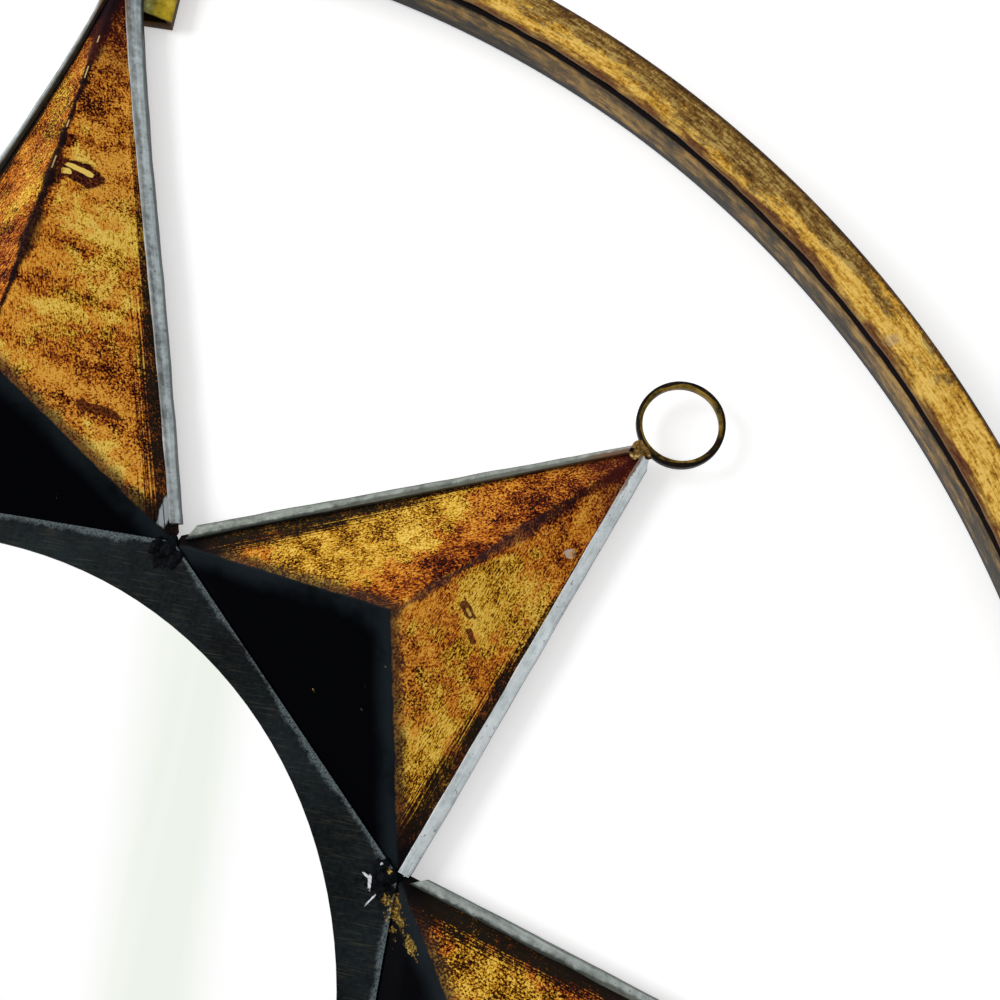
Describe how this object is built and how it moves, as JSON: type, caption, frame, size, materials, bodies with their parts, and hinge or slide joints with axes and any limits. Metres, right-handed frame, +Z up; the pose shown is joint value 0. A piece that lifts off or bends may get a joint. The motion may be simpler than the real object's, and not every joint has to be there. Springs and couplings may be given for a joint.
{
  "type": "sunburst wall mirror",
  "caption": "Round wall mirror set in a star of long and short folded metal rays, tied inside a rolled hoop, with small rings on the short tips.",
  "frame": {"origin": "middle of the mirror on the wall plane, on the flat back of the pan", "axes": "+Z up as hung, -Y forward out of the mirror, +X to the right seen from the front"},
  "size_m": [0.6173, 0.0301, 0.6174],
  "materials": {
    "mirror": "silvered glass",
    "plate_black": "satin slate black, scratched",
    "ray_gold": "gold and copper sponged over black, foot face gloss black",
    "strip_zinc": "dull grey zinc",
    "hoop_gold": "antique gold brushed over dark bronze",
    "ring_bronze": "dark bronze with olive gold inside",
    "bracket_gold": "olive gold",
    "weld_black": "lumpy black with gold flecks",
    "weld_gold": "lumpy gold",
    "pan_black": "matt black",
    "card": "plain grey-brown card",
    "strap_steel": "bare steel"
  },
  "bodies": {
    "root": {"back_pan": "pan_black", "card_pad": "card", "centre_plate": "plate_black", "edge_strip_bottom_left": "strip_zinc", "edge_strip_bottom_right": "strip_zinc", "edge_strip_left_left": "strip_zinc", "edge_strip_left_right": "strip_zinc", "edge_strip_lower_left_left": "strip_zinc", "edge_strip_lower_left_right": "strip_zinc", "edge_strip_lower_right_left": "strip_zinc", "edge_strip_lower_right_right": "strip_zinc", "edge_strip_right_left": "strip_zinc", "edge_strip_right_right": "strip_zinc", "edge_strip_top_left": "strip_zinc", "edge_strip_top_right": "strip_zinc", "edge_strip_upper_left_left": "strip_zinc", "edge_strip_upper_left_right": "strip_zinc", "edge_strip_upper_right_left": "strip_zinc", "edge_strip_upper_right_right": "strip_zinc", "hanger_strap": "strap_steel", "hoop": "hoop_gold", "long_ray_bottom": "ray_gold", "long_ray_left": "ray_gold", "long_ray_right": "ray_gold", "long_ray_top": "ray_gold", "mirror_glass": "mirror", "ring_welds": "weld_gold", "short_ray_lower_left": "ray_gold", "short_ray_lower_right": "ray_gold", "short_ray_upper_left": "ray_gold", "short_ray_upper_right": "ray_gold", "tie_bracket_bottom": "bracket_gold", "tie_bracket_left": "bracket_gold", "tie_bracket_right": "bracket_gold", "tie_bracket_top": "bracket_gold", "tip_ring_lower_left": "ring_bronze", "tip_ring_lower_right": "ring_bronze", "tip_ring_upper_left": "ring_bronze", "tip_ring_upper_right": "ring_bronze", "valley_welds": "weld_black"}
  },
  "joints": []
}
